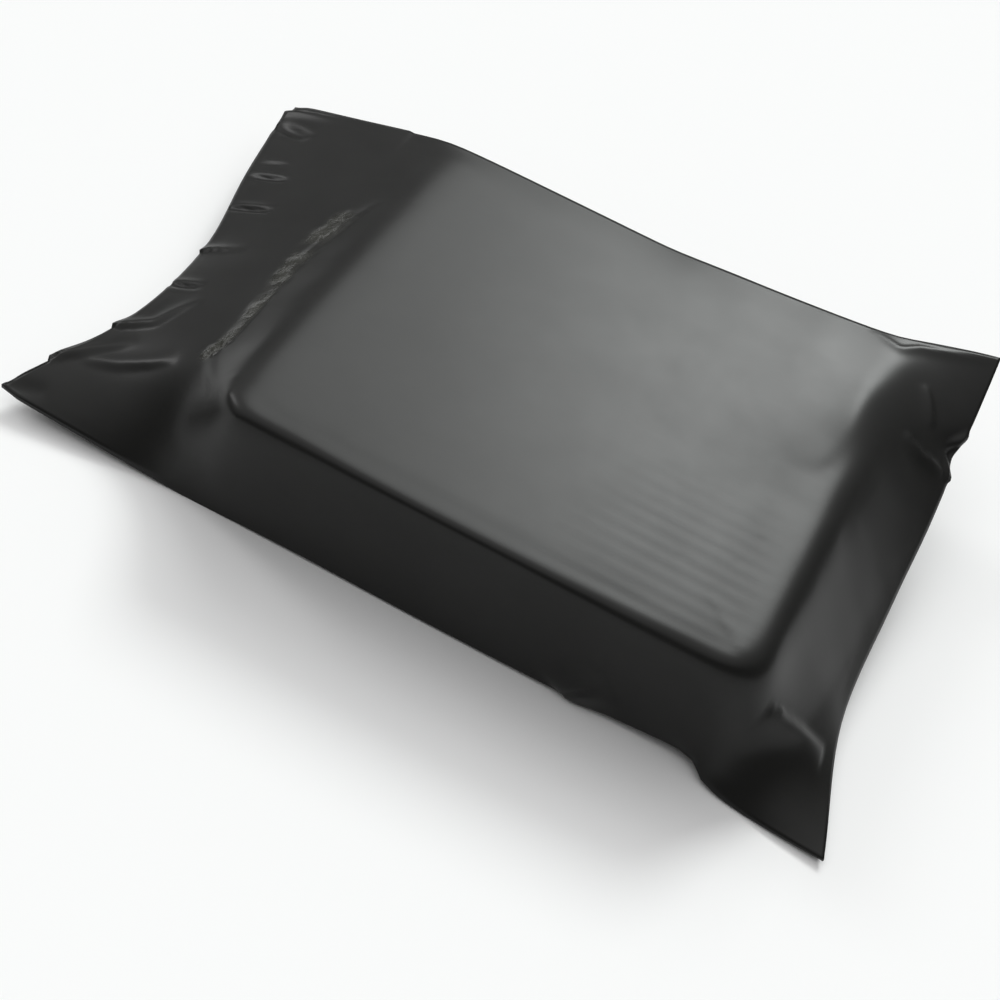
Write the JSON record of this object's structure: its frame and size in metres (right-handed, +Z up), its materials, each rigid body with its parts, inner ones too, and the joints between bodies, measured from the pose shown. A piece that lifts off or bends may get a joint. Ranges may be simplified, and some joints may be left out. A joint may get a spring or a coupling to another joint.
{
  "type": "poly mailer bag",
  "caption": "Filled and sealed poly mailer: dark grey film drawn tight round a flat carton, with a glued closing flap, a bottom fold, side welds and loose ears at its corners.",
  "frame": {"origin": "middle of the bounding box, on the surface that the pack lies on", "axes": "+X along the bag from the closing flap to the bottom fold, +Y across it to the weld that runs along the top edge, +Z up"},
  "size_m": [0.2606, 0.172, 0.0482],
  "materials": {
    "film": "dark grey polyethylene film with a satin sheen, opaque, finely wrinkled at the ends"
  },
  "bodies": {
    "root": {"mailer_bag": "film"}
  },
  "joints": []
}
